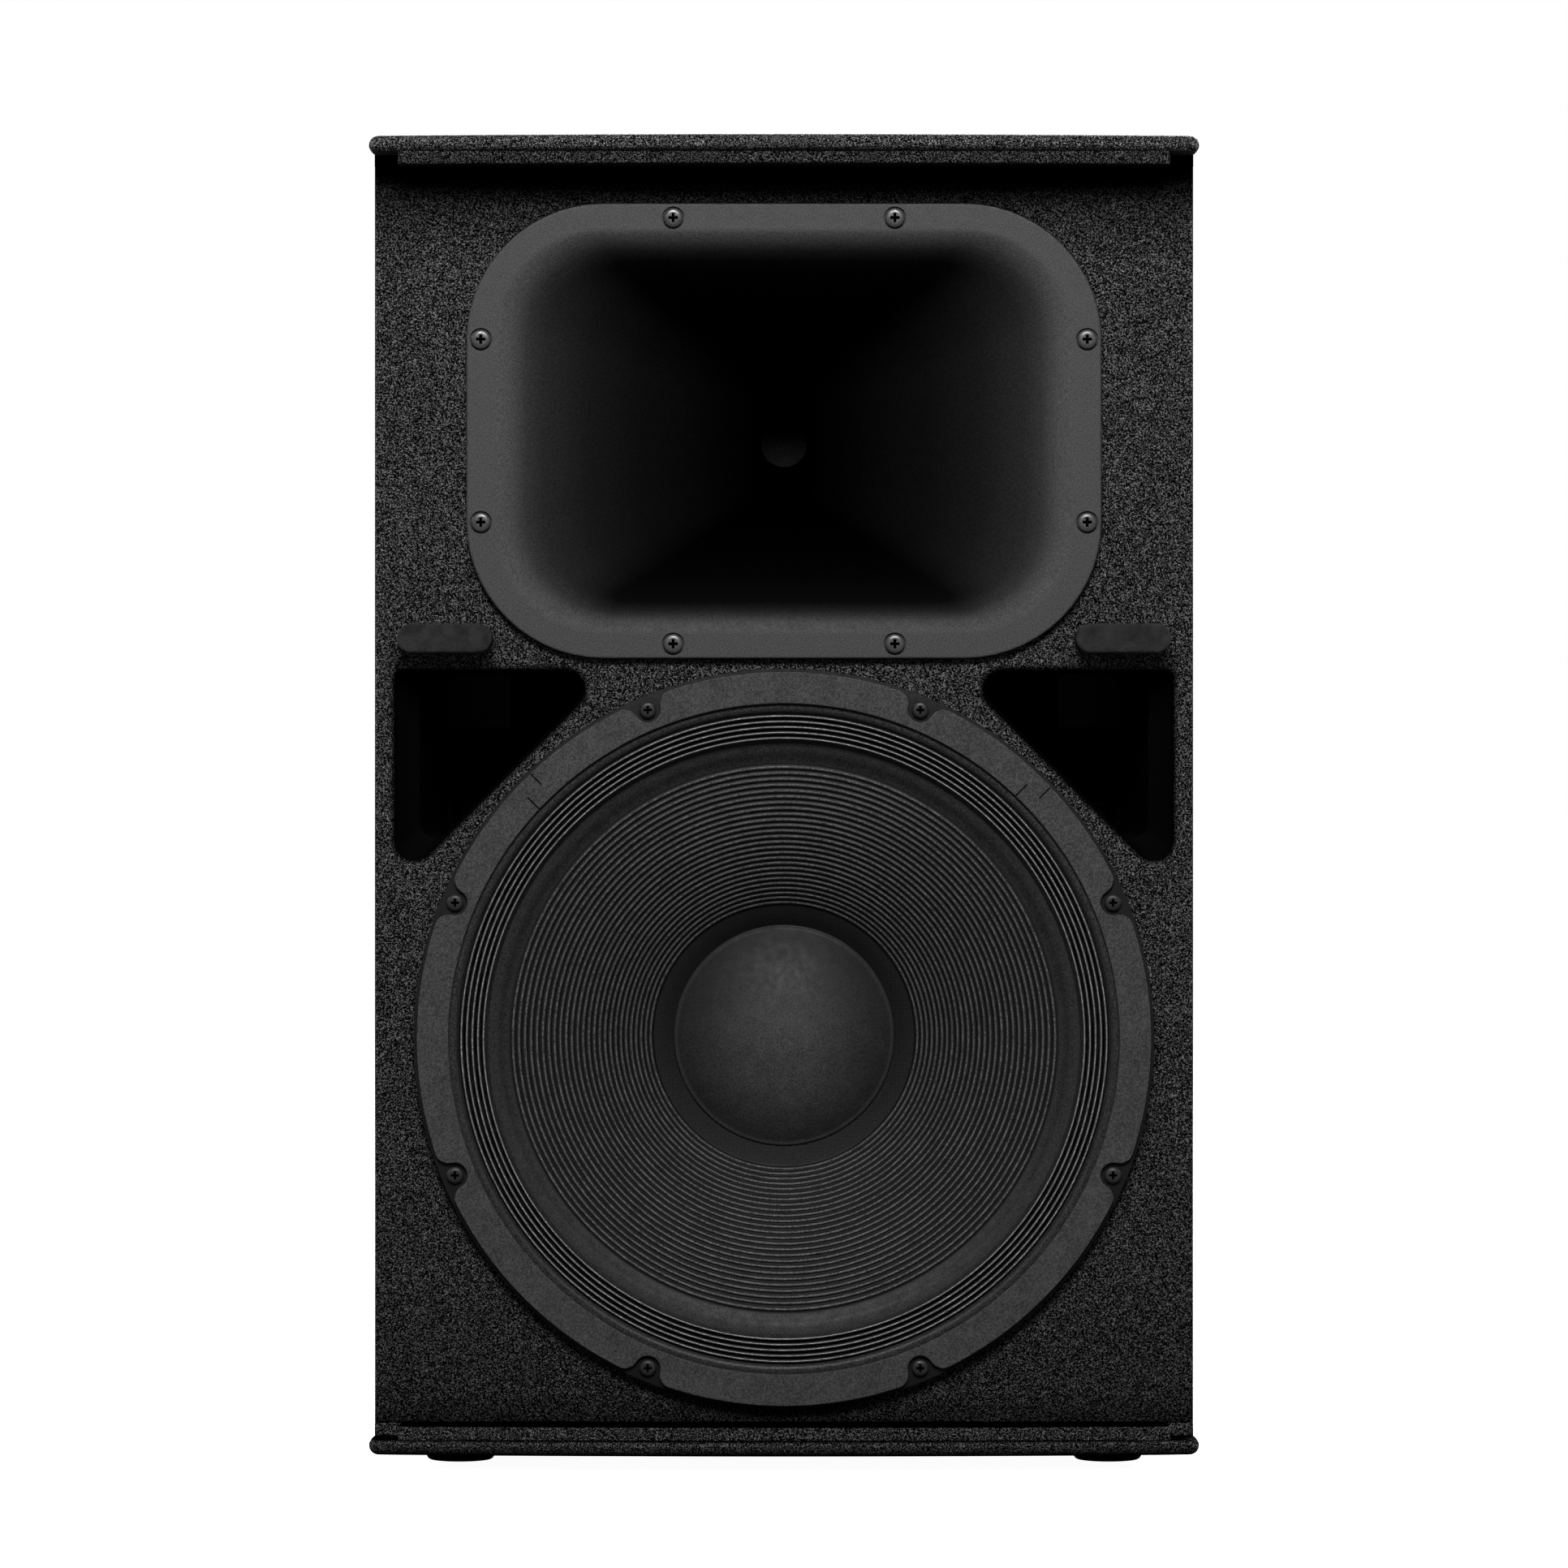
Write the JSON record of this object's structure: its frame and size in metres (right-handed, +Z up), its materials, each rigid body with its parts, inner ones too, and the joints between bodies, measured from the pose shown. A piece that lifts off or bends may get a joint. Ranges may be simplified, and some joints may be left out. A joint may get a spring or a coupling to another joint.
{
  "type": "pa speaker cabinet",
  "caption": "Passive two-way loudspeaker cabinet with a large woofer, a flared horn above it, triangular reflex ports and tapered sides.",
  "frame": {"origin": "on the floor, under the middle of the cabinet's overall box", "axes": "+Z up, the front faces -Y, +X to the right seen from the front"},
  "size_m": [0.435, 0.368, 0.6992],
  "materials": {
    "coat": "sprayed black texture coat on plywood, fine grain, semi-matt",
    "inner_wood": "bare birch plywood",
    "port_plastic": "moulded black plastic, lightly textured",
    "foot_rubber": "matt black rubber",
    "handle_plastic": "moulded black plastic, fine grain",
    "plate_metal": "black powder-coated steel",
    "socket_plastic": "glass-filled black plastic",
    "pad_foam": "open-cell charcoal foam",
    "wadding": "white polyester wadding",
    "circuit_board": "green circuit board",
    "copper_wire": "enamelled copper wire",
    "horn_plastic": "dark grey moulded plastic, fine leather grain, satin",
    "steel": "zinc-plated steel",
    "ferrite": "ground ferrite",
    "titanium": "formed titanium foil",
    "cast_alloy": "cast alloy, black powder coat",
    "gasket_fibre": "pressed grey-black fibre, matt",
    "surround_cloth": "doped corrugated cloth, slight gloss on the crests",
    "spider_cloth": "resin-stiffened woven cloth",
    "cone_paper": "black ribbed paper",
    "cap_paper": "pressed felted paper, soft sheen",
    "coil_wire": "copper-clad aluminium edge-wound wire",
    "screw_metal": "black oxide steel"
  },
  "bodies": {
    "cabinet": {"top_panel": "coat", "bottom_panel": "coat", "left_side_panel": "coat", "right_side_panel": "coat", "back_panel": "coat", "front_baffle": "coat", "cross_brace": "inner_wood", "left_port_duct": "port_plastic", "right_port_duct": "port_plastic", "foot_front_left": "foot_rubber", "foot_front_right": "foot_rubber", "foot_rear_left": "foot_rubber", "foot_rear_right": "foot_rubber", "left_handle_cup": "handle_plastic", "right_handle_cup": "handle_plastic", "pole_socket": "handle_plastic", "input_plate": "plate_metal", "left_speaker_socket": "socket_plastic", "right_speaker_socket": "socket_plastic", "left_grille_pad": "pad_foam", "right_grille_pad": "pad_foam", "damping_pad": "wadding", "crossover_board": "circuit_board", "crossover_inductor": "copper_wire", "horn": "horn_plastic", "driver_pole_piece": "steel", "driver_magnet": "ferrite", "driver_top_plate": "steel", "driver_cover": "handle_plastic", "woofer_basket": "cast_alloy", "woofer_basket_arms": "cast_alloy", "woofer_gasket": "gasket_fibre", "woofer_top_plate": "steel", "woofer_magnet": "ferrite", "woofer_pole_piece": "steel", "woofer_surround": "surround_cloth", "woofer_spider": "spider_cloth", "woofer_screw_1": "screw_metal", "woofer_screw_2": "screw_metal", "woofer_screw_3": "screw_metal", "woofer_screw_4": "screw_metal", "woofer_screw_5": "screw_metal", "woofer_screw_6": "screw_metal", "woofer_screw_7": "screw_metal", "woofer_screw_8": "screw_metal", "horn_screw_1": "screw_metal", "horn_screw_2": "screw_metal", "horn_screw_3": "screw_metal", "horn_screw_4": "screw_metal", "horn_screw_5": "screw_metal", "horn_screw_6": "screw_metal", "horn_screw_7": "screw_metal", "horn_screw_8": "screw_metal", "rigging_point_top_left": "screw_metal", "rigging_point_top_right": "screw_metal", "rigging_point_rear": "screw_metal"},
    "woofer_moving": {"woofer_cone": "cone_paper", "woofer_dust_cap": "cap_paper", "woofer_voice_coil": "coil_wire"},
    "driver_moving": {"driver_diaphragm": "titanium"}
  },
  "joints": [
    {"name": "cone_travel", "type": "slide", "parent": "cabinet", "child": "woofer_moving", "axis": [0, -1, 0], "range_m": [-0.006, 0.006], "stiffness_N_per_m": 6000, "deforming": ["woofer_surround", "woofer_spider"]},
    {"name": "diaphragm_travel", "type": "slide", "parent": "cabinet", "child": "driver_moving", "axis": [0, -1, 0], "range_m": [-0.0004, 0.0004], "stiffness_N_per_m": 2000}
  ]
}
